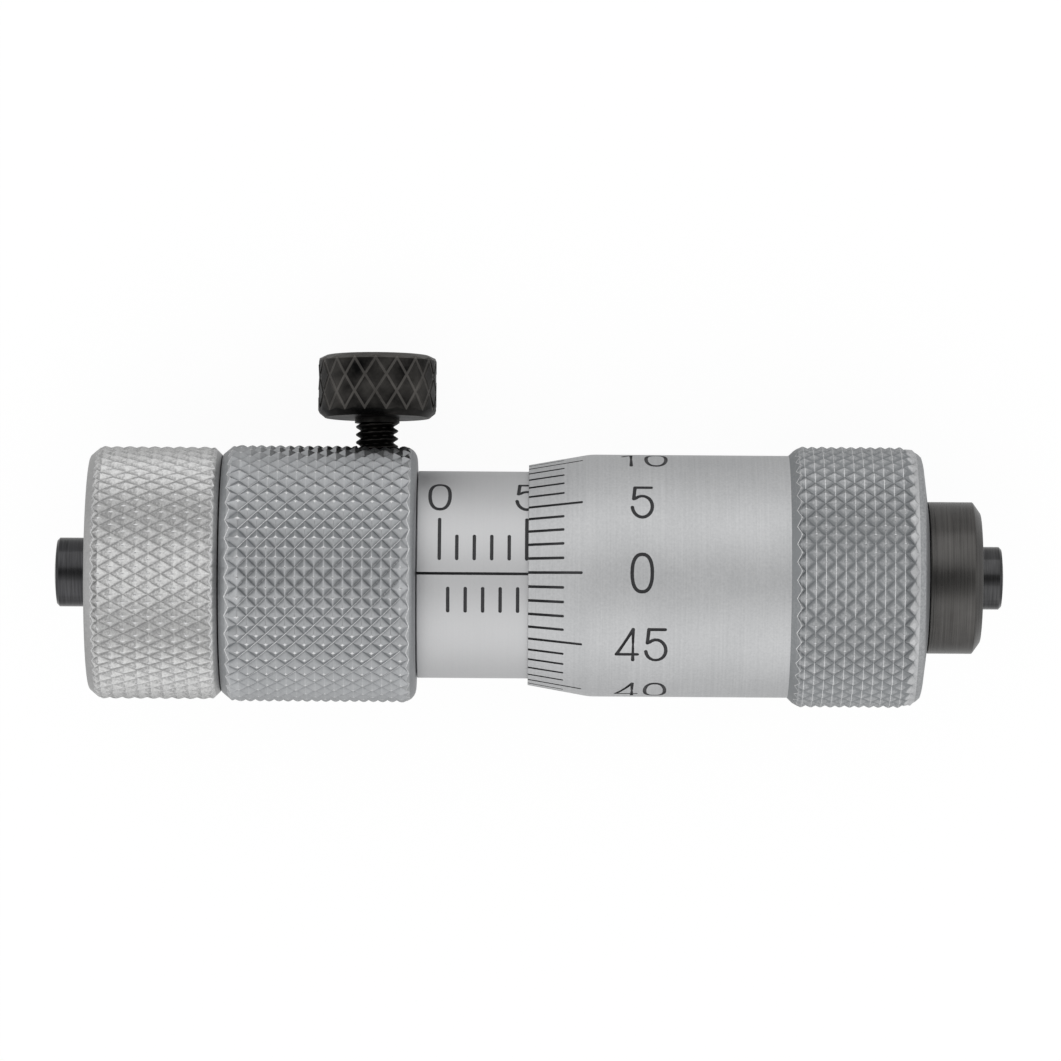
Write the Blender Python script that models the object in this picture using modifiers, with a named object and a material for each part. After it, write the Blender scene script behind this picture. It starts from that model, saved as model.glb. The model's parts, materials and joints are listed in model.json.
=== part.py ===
"""An inside micrometer: a 50 to 63 mm measuring head with its shortest measuring rod clamped in it.

Every piece is turned about Z, with zero at the face where the rod's collar seats on the head. +X is
the way the clamp screw points and +Y the side that carries the scale. One empty then lays the whole
instrument down as it rests on a table: on its knurled bands, with the clamp screw's head touching.
Sizes are in metres.
"""

import math

import bmesh
import bpy
from mathutils import Matrix, Vector

# Fits
SEAM = 0.00005
FIXED_FIT = 0.00004
RUNNING_FIT = 0.00007
END_ROOM = 0.0003

# The setting it shows: how far the spindle stands out from the lower end of its travel
READING = 0.005

# Measuring rod
ROD_CONTACT_RADIUS = 0.0020
ROD_CONTACT_PROUD = 0.00204
ROD_TAIL_STEP = 0.0006
ROD_TAIL_LENGTH = 0.0038
ROD_SHANK_STEP = 0.00048
ROD_SHANK_REACH = 0.0105
ROD_COLLAR_LENGTH = 0.00765
ROD_COLLAR_FALL = 0.0001
ROD_COLLAR_LIP = 0.0014
ROD_NEAR_CHAMFER = 0.00043
ROD_FAR_CHAMFER = 0.0006
ROD_KNURL_TEETH = 50
ROD_KNURL_ROWS = 9
ROD_KNURL_DEPTH = 0.00022

# Measuring faces and the edges of shafts
DOME_RADIUS = 0.012
POLE_FLAT_RADIUS = 0.0004
FACE_CHAMFER = 0.00015
SHAFT_CHAMFER = 0.0004

# Spindle
SPINDLE_THREAD_RADIUS = 0.0032
SPINDLE_THREAD_PAST_NUT = 0.0016
SPINDLE_RELIEF_DEPTH = 0.0003
SPINDLE_CONTACT_RADIUS = 0.00182
SPINDLE_CONTACT_DEPTH = 0.0044
SPINDLE_CONTACT_PROUD = 0.00135
SPINDLE_STUD_WALL = 0.00064
SPINDLE_TAPER_STEP = 0.0009
SPINDLE_TAPER_FALL = 0.0003

# Head: the knurled clamp collar and the barrel behind it
SOCKET_ROOM = 0.0007
SOCKET_MOUTH_CHAMFER = 0.0003
HEAD_COLLAR_PAST_ROD = 0.00076
HEAD_COLLAR_STEP = 0.0014
HEAD_NEAR_CHAMFER = 0.0005
HEAD_END_ROUND = 0.00077
HEAD_KNURL_TEETH = 38
HEAD_KNURL_ROWS = 17
HEAD_KNURL_DEPTH = 0.00025
BARREL_LENGTH = 0.02064
BARREL_WALL = 0.00155
SPINDLE_ROOM = 0.0004
NUT_THREAD_LENGTH = 0.0079
NUT_END_LENGTH = 0.0055
NUT_END_STEP = 0.00045
NUT_END_TAPER = 0.0002
NUT_SLOTS = 3
NUT_SLOT_WIDTH = 0.0005
NUT_SLOT_LENGTH = 0.0065
ADJUSTING_NUT_LENGTH = 0.0021
ADJUSTING_NUT_WALL = 0.00086
SLEEVE_WALL = 0.00081

# Clamp screw
CLAMP_FROM_SHANK_END = 0.00162
CLAMP_THREAD_RADIUS = 0.00123
CLAMP_NECK_STEP = 0.00007
CLAMP_NECK_LENGTH = 0.0003
CLAMP_TIP_CHAMFER = 0.0003
CLAMP_PAD_FALL = 0.00013
CLAMP_PAD_LENGTH = 0.0012
CLAMP_HEAD_RADIUS = 0.00344
CLAMP_HEAD_LENGTH = 0.00367
CLAMP_HEAD_GAP = 0.00168
CLAMP_TOP_CHAMFER = 0.00048
CLAMP_UNDER_CHAMFER = 0.00042
CLAMP_KNURL_TEETH = 20
CLAMP_KNURL_ROWS = 3
CLAMP_KNURL_DEPTH = 0.00022

# Thimble
THIMBLE_EDGE_AT_ZERO = 0.00146
THIMBLE_AIR = 0.0001
THIMBLE_EDGE_WALL = 0.00028
THIMBLE_BEVEL_LENGTH = 0.00356
THIMBLE_BEVEL_RISE = 0.00064
THIMBLE_STEP_LENGTH = 0.00057
THIMBLE_STEP_RISE = 0.00053
THIMBLE_KNURL_LENGTH = 0.0061
THIMBLE_KNURL_TEETH = 40
THIMBLE_KNURL_ROWS = 11
THIMBLE_KNURL_DEPTH = 0.00022
THIMBLE_SHOULDER_LIP = 0.00003
THIMBLE_SHOULDER_SLOPE = 3.0
THIMBLE_NOSE_LENGTH = 0.0003
THIMBLE_NOSE_FALL = 0.00055
THIMBLE_END_CROWN = 0.00031
THIMBLE_END_WALL = 0.0036

# Thimble cap
CAP_LENGTH = 0.00306
CAP_WALL = 0.0019
CAP_CHAMFER_LENGTH = 0.00046
CAP_CHAMFER_FALL = 0.00065
CAP_FRONT_WALL = 0.0008

# Steps round a turned piece, by how much of it is seen
BARREL_STEPS = 32
SLEEVE_STEPS = 44
SHAFT_STEPS = 24
BORE_STEPS = 24

# A cutter passes the face that it opens by this much
CUTTER_PAST = 0.001

# Points closer than this are in one place
TOUCH = 1e-6

# Radii that seat in one another, from the inside out
rod_tail_radius = ROD_CONTACT_RADIUS - ROD_TAIL_STEP
rod_shank_radius = ROD_CONTACT_RADIUS + ROD_SHANK_STEP
spindle_room_radius = SPINDLE_THREAD_RADIUS + SPINDLE_ROOM
barrel_radius = spindle_room_radius + BARREL_WALL
nut_end_top_radius = barrel_radius - NUT_END_STEP
adjusting_nut_radius = nut_end_top_radius + FIXED_FIT + ADJUSTING_NUT_WALL
sleeve_radius = barrel_radius + FIXED_FIT + SLEEVE_WALL
head_collar_radius = sleeve_radius + HEAD_COLLAR_STEP
rod_collar_radius = head_collar_radius - ROD_COLLAR_FALL
thimble_bore_radius = sleeve_radius + THIMBLE_AIR
thimble_edge_radius = thimble_bore_radius + THIMBLE_EDGE_WALL
thimble_radius = thimble_edge_radius + THIMBLE_BEVEL_RISE
thimble_knurl_radius = thimble_radius + THIMBLE_STEP_RISE
stud_radius = SPINDLE_CONTACT_RADIUS + FIXED_FIT + SPINDLE_STUD_WALL
taper_small_radius = stud_radius + SPINDLE_TAPER_STEP
cap_radius = stud_radius + CAP_WALL

# Places along the instrument, from the rod's end to the thimble's
rod_face = -SEAM
rod_end = rod_face - ROD_COLLAR_LENGTH
rod_shank_end = rod_end + ROD_COLLAR_LIP
rod_tip = rod_end - ROD_CONTACT_PROUD
clamp_axis = ROD_SHANK_REACH - CLAMP_FROM_SHANK_END
socket_end = ROD_SHANK_REACH + SOCKET_ROOM
head_collar_end = ROD_SHANK_REACH + HEAD_COLLAR_PAST_ROD
barrel_end = head_collar_end + BARREL_LENGTH
nut_end_start = barrel_end - NUT_END_LENGTH
adjusting_nut_start = barrel_end - ADJUSTING_NUT_LENGTH
thimble_edge = head_collar_end + THIMBLE_EDGE_AT_ZERO + READING
thimble_wall = barrel_end + READING + END_ROOM
thimble_end = thimble_wall + THIMBLE_END_WALL
taper_end = thimble_end - THIMBLE_END_CROWN
cap_start = thimble_end + SEAM
cap_end = cap_start + CAP_LENGTH
cap_front = cap_end - CAP_FRONT_WALL
stud_end = cap_front - SEAM
spindle_start = socket_end + READING + END_ROOM
spindle_thread_end = barrel_end + SPINDLE_THREAD_PAST_NUT
contact_seat = stud_end - SPINDLE_CONTACT_DEPTH
spindle_tip = cap_end + SPINDLE_CONTACT_PROUD

# Places along the clamp screw, out from the instrument's axis
pad_start = rod_shank_radius + SEAM
pad_end = pad_start + CLAMP_PAD_LENGTH
clamp_tip = pad_end + SEAM
clamp_under = head_collar_radius + CLAMP_HEAD_GAP
clamp_top = clamp_under + CLAMP_HEAD_LENGTH

MATERIALS = {
    "satin_chrome": ((0.56, 0.57, 0.58), 0.38, 1.0),
    "knurled_chrome": ((0.50, 0.51, 0.52), 0.42, 1.0),
    "black_oxide": ((0.035, 0.033, 0.034), 0.40, 1.0),
    "dark_steel": ((0.14, 0.135, 0.13), 0.38, 1.0),
    "ground_steel": ((0.17, 0.17, 0.175), 0.22, 1.0),
    "spindle_steel": ((0.46, 0.46, 0.47), 0.30, 1.0),
    "brass": ((0.72, 0.53, 0.22), 0.35, 1.0),
}


def clear_scene():
    for old in list(bpy.data.objects):
        bpy.data.objects.remove(old, do_unlink=True)


def new_collection(name):
    collection = bpy.data.collections.new(name)
    bpy.context.scene.collection.children.link(collection)
    return collection


def new_material(name):
    colour, roughness, metallic = MATERIALS[name]
    material = bpy.data.materials.new(name)
    material.use_nodes = True
    shader = material.node_tree.nodes["Principled BSDF"]
    shader.inputs["Base Color"].default_value = (*colour, 1.0)
    shader.inputs["Roughness"].default_value = roughness
    shader.inputs["Metallic"].default_value = metallic
    return material


def turned(name, profile, steps, collection):
    """A solid of revolution about Z.

    The profile is (radius, z) down the outer side. One that starts on the axis also ends on it; any
    other goes back up the bore and closes.
    """
    mesh = bpy.data.meshes.new(name)
    points = [(radius, 0.0, z) for radius, z in profile]
    edges = [(i, i + 1) for i in range(len(points) - 1)]
    if profile[0][0] > 0.0:
        edges.append((len(points) - 1, 0))
    mesh.from_pydata(points, edges, [])
    piece = bpy.data.objects.new(name, mesh)
    collection.objects.link(piece)
    turn = piece.modifiers.new("Turn", "SCREW")
    turn.axis = "Z"
    turn.steps = steps
    turn.render_steps = steps
    turn.use_merge_vertices = True
    turn.merge_threshold = TOUCH
    return piece


def apply_modifiers(piece):
    bpy.context.view_layer.update()
    graph = bpy.context.evaluated_depsgraph_get()
    solid = bpy.data.meshes.new_from_object(piece.evaluated_get(graph))
    solid.name = piece.name
    piece.modifiers.clear()
    piece.data = solid


def shade(piece, material):
    piece.data.shade_smooth()
    piece.data.set_sharp_from_angle(angle=math.radians(20))
    piece.data.materials.clear()
    piece.data.materials.append(material)


def flats(radius, steps):
    """The corner radius of a bore whose flats lie at this radius."""
    return radius / math.cos(math.pi / steps)


def band(radius, low, high, rows):
    """The profile of a band to be knurled, down its outer side."""
    return [(radius, high + (low - high) * row / rows) for row in range(rows + 1)]


def press_knurl(piece, radius, low, high, rows, depth, low_ease=1.0, high_ease=1.0):
    """Cuts a diamond knurl in a turned band that has one step to a tooth.

    The band's rings get a point between every two. Every other point is then pressed to the root and
    each square creased from root to root, which leaves one pyramid to a tooth. In the end rows a root
    also runs out along the chamfer beside it, whose length over fall is the ease.
    """
    mesh = bmesh.new()
    mesh.from_mesh(piece.data)
    rings = [edge for edge in mesh.edges if all(on_band(point, radius) for point in edge.verts)]
    rings = [edge for edge in rings if abs(edge.verts[0].co.z - edge.verts[1].co.z) < TOUCH]
    split = bmesh.ops.subdivide_edges(mesh, edges=rings, cuts=1, use_grid_fill=True)
    between = {item for item in split["geom_inner"] if isinstance(item, bmesh.types.BMVert)}
    roots = set()
    for point in mesh.verts:
        if point not in between and not on_band(point, radius):
            continue
        row = round((point.co.z - low) / (high - low) * rows)
        pressed = (row + (point in between)) % 2 == 1
        place_on_band(point, radius - depth * pressed)
        if not pressed:
            continue
        if row == 0:
            point.co.z -= depth * low_ease
        if row == rows:
            point.co.z += depth * high_ease
        roots.add(point)
    for face in list(mesh.faces):
        found = [point for point in face.verts if point in roots]
        if len(face.verts) == 4 and len(found) == 2:
            bmesh.utils.face_split(face, *found)
    mesh.to_mesh(piece.data)
    mesh.free()


def on_band(point, radius):
    return abs(math.hypot(point.co.x, point.co.y) - radius) < TOUCH


def place_on_band(point, radius):
    scale = radius / math.hypot(point.co.x, point.co.y)
    point.co.x *= scale
    point.co.y *= scale


def join_or_cut(piece, other, operation):
    change = piece.modifiers.new(other.name, "BOOLEAN")
    change.operation = operation
    change.solver = "EXACT"
    change.object = other


def hide_helper(helper):
    helper.hide_render = True
    helper.display_type = "WIRE"
    helper.parent = rest
    return helper


def turned_helper(name, profile, steps):
    return hide_helper(turned(name, profile, steps, cutters))


def dome(radius, tip, outward):
    """A measuring face from its flat pole to its chamfered edge; outward is 1 upwards, -1 down."""
    def drop(across):
        return DOME_RADIUS - math.sqrt(DOME_RADIUS**2 - across**2)

    rim = radius - FACE_CHAMFER
    rings = [POLE_FLAT_RADIUS, (POLE_FLAT_RADIUS + rim) / 2, rim]
    points = [(0.0, tip)]
    points += [(ring, tip - outward * (drop(ring) - drop(POLE_FLAT_RADIUS))) for ring in rings]
    points.append((radius, points[-1][1] - outward * FACE_CHAMFER))
    return points


def make_rod_contact():
    shoulder = rod_shank_end - SEAM
    tail_end = rod_shank_end + ROD_TAIL_LENGTH
    profile = [
        (0.0, tail_end),
        (rod_tail_radius, tail_end),
        (rod_tail_radius, shoulder),
        (ROD_CONTACT_RADIUS, shoulder),
        *reversed(dome(ROD_CONTACT_RADIUS, rod_tip, -1)),
    ]
    return turned("rod_contact", profile, SHAFT_STEPS, parts)


def make_rod_shank():
    hole = flats(rod_tail_radius + FIXED_FIT, SHAFT_STEPS)
    hole_end = rod_shank_end + ROD_TAIL_LENGTH + END_ROOM
    profile = [
        (0.0, ROD_SHANK_REACH),
        (rod_shank_radius - SHAFT_CHAMFER, ROD_SHANK_REACH),
        (rod_shank_radius, ROD_SHANK_REACH - SHAFT_CHAMFER),
        (rod_shank_radius, rod_shank_end),
        (hole, rod_shank_end),
        (hole, hole_end),
        (0.0, hole_end),
    ]
    return turned("rod_shank", profile, SHAFT_STEPS, parts)


def make_rod_collar():
    low = rod_end + ROD_FAR_CHAMFER
    high = rod_face - ROD_NEAR_CHAMFER
    profile = [
        (0.0, rod_face),
        (rod_collar_radius - ROD_NEAR_CHAMFER, rod_face),
        *band(rod_collar_radius, low, high, ROD_KNURL_ROWS),
        (rod_collar_radius - ROD_FAR_CHAMFER, rod_end),
        (0.0, rod_end),
    ]
    collar = turned("rod_collar", profile, ROD_KNURL_TEETH, parts)
    apply_modifiers(collar)
    press_knurl(collar, rod_collar_radius, low, high, ROD_KNURL_ROWS, ROD_KNURL_DEPTH)
    shank = flats(rod_shank_radius + FIXED_FIT, SHAFT_STEPS)
    contact = flats(ROD_CONTACT_RADIUS + FIXED_FIT, SHAFT_STEPS)
    bore = turned_helper(
        "rod_collar_bore",
        [
            (0.0, rod_face + CUTTER_PAST),
            (shank, rod_face + CUTTER_PAST),
            (shank, rod_shank_end - SEAM),
            (contact, rod_shank_end - SEAM),
            (contact, rod_end - CUTTER_PAST),
            (0.0, rod_end - CUTTER_PAST),
        ],
        SHAFT_STEPS,
    )
    join_or_cut(collar, bore, "DIFFERENCE")
    return collar


def nut_end_radius(z):
    """The tapered outside of the slotted nut end."""
    return nut_end_top_radius - NUT_END_TAPER * (z - nut_end_start) / NUT_END_LENGTH


def make_clamp_body():
    low = HEAD_NEAR_CHAMFER
    high = head_collar_end - HEAD_END_ROUND
    round_length = HEAD_END_ROUND * math.sin(math.pi / 3)
    round_fall = HEAD_END_ROUND * (1 - math.cos(math.pi / 3))
    profile = [
        (0.0, head_collar_end),
        (head_collar_radius - HEAD_END_ROUND, head_collar_end),
        (head_collar_radius - round_fall, high + round_length),
        *band(head_collar_radius, low, high, HEAD_KNURL_ROWS),
        (head_collar_radius - HEAD_NEAR_CHAMFER, 0.0),
        (0.0, 0.0),
    ]
    body = turned("clamp_body", profile, HEAD_KNURL_TEETH, parts)
    apply_modifiers(body)
    end_ease = round_length / round_fall
    press_knurl(
        body, head_collar_radius, low, high, HEAD_KNURL_ROWS, HEAD_KNURL_DEPTH, high_ease=end_ease
    )
    join_or_cut(body, make_barrel(), "UNION")
    join_or_cut(body, make_head_bore(), "DIFFERENCE")
    for slot in range(NUT_SLOTS):
        join_or_cut(body, make_nut_slot(slot), "DIFFERENCE")
    join_or_cut(body, make_clamp_hole(), "DIFFERENCE")
    return body


def make_barrel():
    root = head_collar_end / 2
    profile = [
        (0.0, barrel_end),
        (nut_end_radius(barrel_end), barrel_end),
        (nut_end_top_radius, nut_end_start),
        (barrel_radius, nut_end_start),
        (barrel_radius, root),
        (0.0, root),
    ]
    return turned_helper("barrel", profile, BARREL_STEPS)


def make_head_bore():
    """The rod's socket, the room for the spindle's end, and the spindle's nut thread."""
    socket = flats(rod_shank_radius + RUNNING_FIT, BORE_STEPS)
    thread = flats(SPINDLE_THREAD_RADIUS + RUNNING_FIT, BORE_STEPS)
    thread_start = barrel_end - NUT_THREAD_LENGTH
    mouth = socket + SOCKET_MOUTH_CHAMFER + CUTTER_PAST
    profile = [
        (0.0, barrel_end + CUTTER_PAST),
        (thread, barrel_end + CUTTER_PAST),
        (thread, thread_start),
        (spindle_room_radius, thread_start),
        (spindle_room_radius, socket_end),
        (socket, socket_end),
        (socket, SOCKET_MOUTH_CHAMFER),
        (mouth, -CUTTER_PAST),
        (0.0, -CUTTER_PAST),
    ]
    return turned_helper("head_bore", profile, BORE_STEPS)


def make_nut_slot(index):
    """One saw cut along the nut end, through one side of its wall."""
    reach = barrel_radius + CUTTER_PAST
    length = NUT_SLOT_LENGTH + CUTTER_PAST
    mesh = bmesh.new()
    bmesh.ops.create_cube(mesh, size=1.0)
    bmesh.ops.scale(mesh, vec=(reach, NUT_SLOT_WIDTH, length), verts=mesh.verts)
    bmesh.ops.translate(mesh, vec=(reach / 2, 0.0, 0.0), verts=mesh.verts)
    data = bpy.data.meshes.new("nut_slot")
    mesh.to_mesh(data)
    mesh.free()
    cutter = bpy.data.objects.new(f"nut_slot_{index + 1}", data)
    cutters.objects.link(cutter)
    cutter.location.z = barrel_end - NUT_SLOT_LENGTH + length / 2
    cutter.rotation_euler.z = math.tau * (index + 0.5) / NUT_SLOTS
    return hide_helper(cutter)


def point_along_clamp(piece):
    """Stands a piece that was turned about Z on the clamp screw's axis."""
    piece.rotation_euler.y = math.pi / 2
    piece.location.z = clamp_axis
    return piece


def make_clamp_hole():
    hole = flats(CLAMP_THREAD_RADIUS + RUNNING_FIT, SHAFT_STEPS)
    top = head_collar_radius + CUTTER_PAST
    profile = [(0.0, top), (hole, top), (hole, 0.0), (0.0, 0.0)]
    return point_along_clamp(turned_helper("clamp_hole", profile, SHAFT_STEPS))


def make_clamp_pad():
    radius = CLAMP_THREAD_RADIUS - CLAMP_PAD_FALL
    profile = [(0.0, pad_end), (radius, pad_end), (radius, pad_start), (0.0, pad_start)]
    return point_along_clamp(turned("clamp_pad", profile, SHAFT_STEPS, parts))


def make_clamp_screw():
    low = clamp_under + CLAMP_UNDER_CHAMFER
    high = clamp_top - CLAMP_TOP_CHAMFER
    head_profile = [
        (0.0, clamp_top),
        (CLAMP_HEAD_RADIUS - CLAMP_TOP_CHAMFER, clamp_top),
        *band(CLAMP_HEAD_RADIUS, low, high, CLAMP_KNURL_ROWS),
        (CLAMP_HEAD_RADIUS - CLAMP_UNDER_CHAMFER, clamp_under),
        (0.0, clamp_under),
    ]
    screw = turned("clamp_screw", head_profile, CLAMP_KNURL_TEETH, parts)
    apply_modifiers(screw)
    press_knurl(screw, CLAMP_HEAD_RADIUS, low, high, CLAMP_KNURL_ROWS, CLAMP_KNURL_DEPTH)
    neck_radius = CLAMP_THREAD_RADIUS + CLAMP_NECK_STEP
    neck_end = clamp_under - CLAMP_NECK_LENGTH
    root = clamp_under + CLAMP_HEAD_LENGTH / 2
    stem_profile = [
        (0.0, root),
        (neck_radius, root),
        (neck_radius, neck_end),
        (CLAMP_THREAD_RADIUS, neck_end),
        (CLAMP_THREAD_RADIUS, clamp_tip + CLAMP_TIP_CHAMFER),
        (CLAMP_THREAD_RADIUS - CLAMP_TIP_CHAMFER, clamp_tip),
        (0.0, clamp_tip),
    ]
    stem = turned_helper("clamp_stem", stem_profile, SHAFT_STEPS)
    join_or_cut(screw, point_along_clamp(stem), "UNION")
    return point_along_clamp(screw)


def make_graduated_sleeve():
    start = head_collar_end + SEAM
    end = adjusting_nut_start - END_ROOM
    bore = flats(barrel_radius + FIXED_FIT, SLEEVE_STEPS)
    profile = [(sleeve_radius, end), (sleeve_radius, start), (bore, start), (bore, end)]
    return turned("graduated_sleeve", profile, SLEEVE_STEPS, parts)


def make_adjusting_nut():
    low = adjusting_nut_start
    high = barrel_end
    low_bore = flats(nut_end_radius(low) + FIXED_FIT, BARREL_STEPS)
    high_bore = flats(nut_end_radius(high) + FIXED_FIT, BARREL_STEPS)
    profile = [
        (adjusting_nut_radius - FACE_CHAMFER, high),
        (adjusting_nut_radius, high - FACE_CHAMFER),
        (adjusting_nut_radius, low),
        (low_bore, low),
        (high_bore, high),
    ]
    return turned("adjusting_nut", profile, BARREL_STEPS, parts)


def make_spindle():
    hole = flats(SPINDLE_CONTACT_RADIUS + FIXED_FIT, SHAFT_STEPS)
    relief_radius = SPINDLE_THREAD_RADIUS - SPINDLE_RELIEF_DEPTH
    profile = [
        (0.0, contact_seat - SEAM),
        (hole, contact_seat - SEAM),
        (hole, stud_end),
        (stud_radius, stud_end),
        (stud_radius, taper_end),
        (taper_small_radius, taper_end),
        (taper_small_radius + SPINDLE_TAPER_FALL, thimble_wall),
        (relief_radius, thimble_wall),
        (relief_radius, spindle_thread_end),
        (SPINDLE_THREAD_RADIUS, spindle_thread_end),
        (SPINDLE_THREAD_RADIUS, spindle_start + SHAFT_CHAMFER),
        (SPINDLE_THREAD_RADIUS - SHAFT_CHAMFER, spindle_start),
        (0.0, spindle_start),
    ]
    return turned("spindle", profile, SHAFT_STEPS, parts)


def make_thimble():
    shoulder_fall = THIMBLE_KNURL_DEPTH + THIMBLE_SHOULDER_LIP
    shoulder_end = taper_end - THIMBLE_NOSE_LENGTH
    shoulder_radius = thimble_knurl_radius - shoulder_fall
    high = shoulder_end - THIMBLE_SHOULDER_SLOPE * shoulder_fall
    low = high - THIMBLE_KNURL_LENGTH
    profile = [
        (0.0, thimble_end),
        (cap_radius, thimble_end),
        (shoulder_radius - THIMBLE_NOSE_FALL, taper_end),
        (shoulder_radius, shoulder_end),
        *band(thimble_knurl_radius, low, high, THIMBLE_KNURL_ROWS),
        (thimble_radius, low - THIMBLE_STEP_LENGTH),
        (thimble_radius, thimble_edge + THIMBLE_BEVEL_LENGTH),
        (thimble_edge_radius, thimble_edge),
        (0.0, thimble_edge),
    ]
    thimble = turned("thimble", profile, THIMBLE_KNURL_TEETH, parts)
    apply_modifiers(thimble)
    press_knurl(
        thimble,
        thimble_knurl_radius,
        low,
        high,
        THIMBLE_KNURL_ROWS,
        THIMBLE_KNURL_DEPTH,
        low_ease=THIMBLE_STEP_LENGTH / THIMBLE_STEP_RISE,
        high_ease=THIMBLE_SHOULDER_SLOPE,
    )
    join_or_cut(thimble, make_thimble_bore(), "DIFFERENCE")
    return thimble


def make_thimble_bore():
    """The room for the barrel, and the taper that seats on the spindle's."""
    hollow = flats(thimble_bore_radius, BORE_STEPS)
    small = flats(taper_small_radius + FIXED_FIT, BORE_STEPS)
    large = flats(taper_small_radius + SPINDLE_TAPER_FALL + FIXED_FIT, BORE_STEPS)
    profile = [
        (0.0, thimble_end + CUTTER_PAST),
        (small, thimble_end + CUTTER_PAST),
        (small, taper_end),
        (large, thimble_wall),
        (hollow, thimble_wall),
        (hollow, thimble_edge - CUTTER_PAST),
        (0.0, thimble_edge - CUTTER_PAST),
    ]
    return turned_helper("thimble_bore", profile, BORE_STEPS)


def make_thimble_cap():
    stud = flats(stud_radius + FIXED_FIT, BARREL_STEPS)
    hole = flats(SPINDLE_CONTACT_RADIUS + FIXED_FIT, BARREL_STEPS)
    profile = [
        (cap_radius - CAP_CHAMFER_FALL, cap_end),
        (cap_radius, cap_end - CAP_CHAMFER_LENGTH),
        (cap_radius, cap_start),
        (stud, cap_start),
        (stud, cap_front),
        (hole, cap_front),
        (hole, cap_end),
    ]
    return turned("thimble_cap", profile, BARREL_STEPS, parts)


def make_spindle_contact():
    profile = [
        *dome(SPINDLE_CONTACT_RADIUS, spindle_tip, 1),
        (SPINDLE_CONTACT_RADIUS, contact_seat),
        (0.0, contact_seat),
    ]
    return turned("spindle_contact", profile, SHAFT_STEPS, parts)


def lay_down():
    """Lays the instrument on its widest band, turned until the clamp head's rim meets the table."""
    rim_out = clamp_top - CLAMP_TOP_CHAMFER
    rim_side = CLAMP_HEAD_RADIUS
    height = max(thimble_knurl_radius, head_collar_radius, rod_collar_radius)
    roll = math.asin(height / math.hypot(rim_out, rim_side)) - math.atan2(rim_side, rim_out)
    clamp_way = Vector((0.0, math.cos(roll), -math.sin(roll)))
    scale_way = Vector((0.0, math.sin(roll), math.cos(roll)))
    along = Vector((1.0, 0.0, 0.0))
    turn = Matrix((clamp_way, scale_way, along)).transposed()
    corners = [(clamp_top, CLAMP_HEAD_RADIUS - CLAMP_TOP_CHAMFER), (rim_out, rim_side)]
    clamp_reach = max(out * math.cos(roll) + side * math.sin(roll) for out, side in corners)
    middle = (rod_tip + spindle_tip) / 2
    place = Vector((-middle, (height - clamp_reach) / 2, height))
    rest.matrix_world = Matrix.Translation(place) @ turn.to_4x4()


clear_scene()
parts = new_collection("inside_micrometer")
cutters = new_collection("cutters")
rest = bpy.data.objects.new("rest", None)
parts.objects.link(rest)
materials = {name: new_material(name) for name in MATERIALS}

FINISHES = {
    make_rod_contact: "ground_steel",
    make_rod_shank: "ground_steel",
    make_rod_collar: "knurled_chrome",
    make_clamp_body: "knurled_chrome",
    make_clamp_pad: "brass",
    make_clamp_screw: "black_oxide",
    make_graduated_sleeve: "satin_chrome",
    make_adjusting_nut: "spindle_steel",
    make_spindle: "spindle_steel",
    make_thimble: "satin_chrome",
    make_thimble_cap: "dark_steel",
    make_spindle_contact: "ground_steel",
}
for make, finish in FINISHES.items():
    made = make()
    made.parent = rest
    apply_modifiers(made)
    shade(made, materials[finish])
lay_down()
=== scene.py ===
"""The looks of a 50 to 63 mm inside micrometer that lies on a white table.

Each piece is modelled in millimetres in the gauge's own frame and then laid in its place: Z runs along
the spindle from the face where the rod seats on the head, X points the way of the clamp screw, and Y
to the side that carries the scale.
"""

import json
import math
from collections import namedtuple

import bmesh
import bpy
from mathutils import Matrix, Vector


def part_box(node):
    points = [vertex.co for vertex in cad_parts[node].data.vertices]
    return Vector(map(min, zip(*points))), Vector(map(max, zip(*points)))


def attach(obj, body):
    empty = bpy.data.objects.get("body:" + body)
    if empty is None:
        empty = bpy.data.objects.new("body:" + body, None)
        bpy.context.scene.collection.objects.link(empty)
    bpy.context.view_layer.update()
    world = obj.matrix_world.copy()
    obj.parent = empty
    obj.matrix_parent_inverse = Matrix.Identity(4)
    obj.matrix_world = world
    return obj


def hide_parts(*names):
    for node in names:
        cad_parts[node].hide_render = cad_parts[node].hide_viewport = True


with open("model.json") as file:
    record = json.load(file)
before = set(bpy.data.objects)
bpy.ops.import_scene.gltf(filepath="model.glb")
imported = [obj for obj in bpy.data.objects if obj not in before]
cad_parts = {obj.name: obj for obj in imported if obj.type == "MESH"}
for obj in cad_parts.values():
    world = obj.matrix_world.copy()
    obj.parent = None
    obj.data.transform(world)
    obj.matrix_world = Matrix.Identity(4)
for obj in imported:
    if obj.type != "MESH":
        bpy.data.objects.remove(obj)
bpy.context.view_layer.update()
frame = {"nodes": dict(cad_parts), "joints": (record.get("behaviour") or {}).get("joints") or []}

# The gauge's frame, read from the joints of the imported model
JOINTS = {joint["name"]: joint for joint in frame["joints"]}
LINE = Vector(JOINTS["thimble_turn"]["pos_m"])
CLAMP_POINT = Vector(JOINTS["clamp_screw_turn"]["pos_m"])
OUT = Vector(JOINTS["clamp_screw_turn"]["axis"])
ALONG = Vector((1.0, 0.0, 0.0))
UP = ALONG.cross(OUT)
MM = 0.001
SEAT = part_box("clamp_body")[0].x
CLAMP_ALONG = (CLAMP_POINT.x - SEAT) / MM


def ends(node):
    """Where a solid starts and ends along the gauge, in millimetres from the seat."""
    low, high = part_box(node)
    return (low.x - SEAT) / MM, (high.x - SEAT) / MM


def frame_of(across, up, along, centre):
    return Matrix.Translation(centre) @ Matrix((across, up, along)).transposed().to_4x4()


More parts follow.
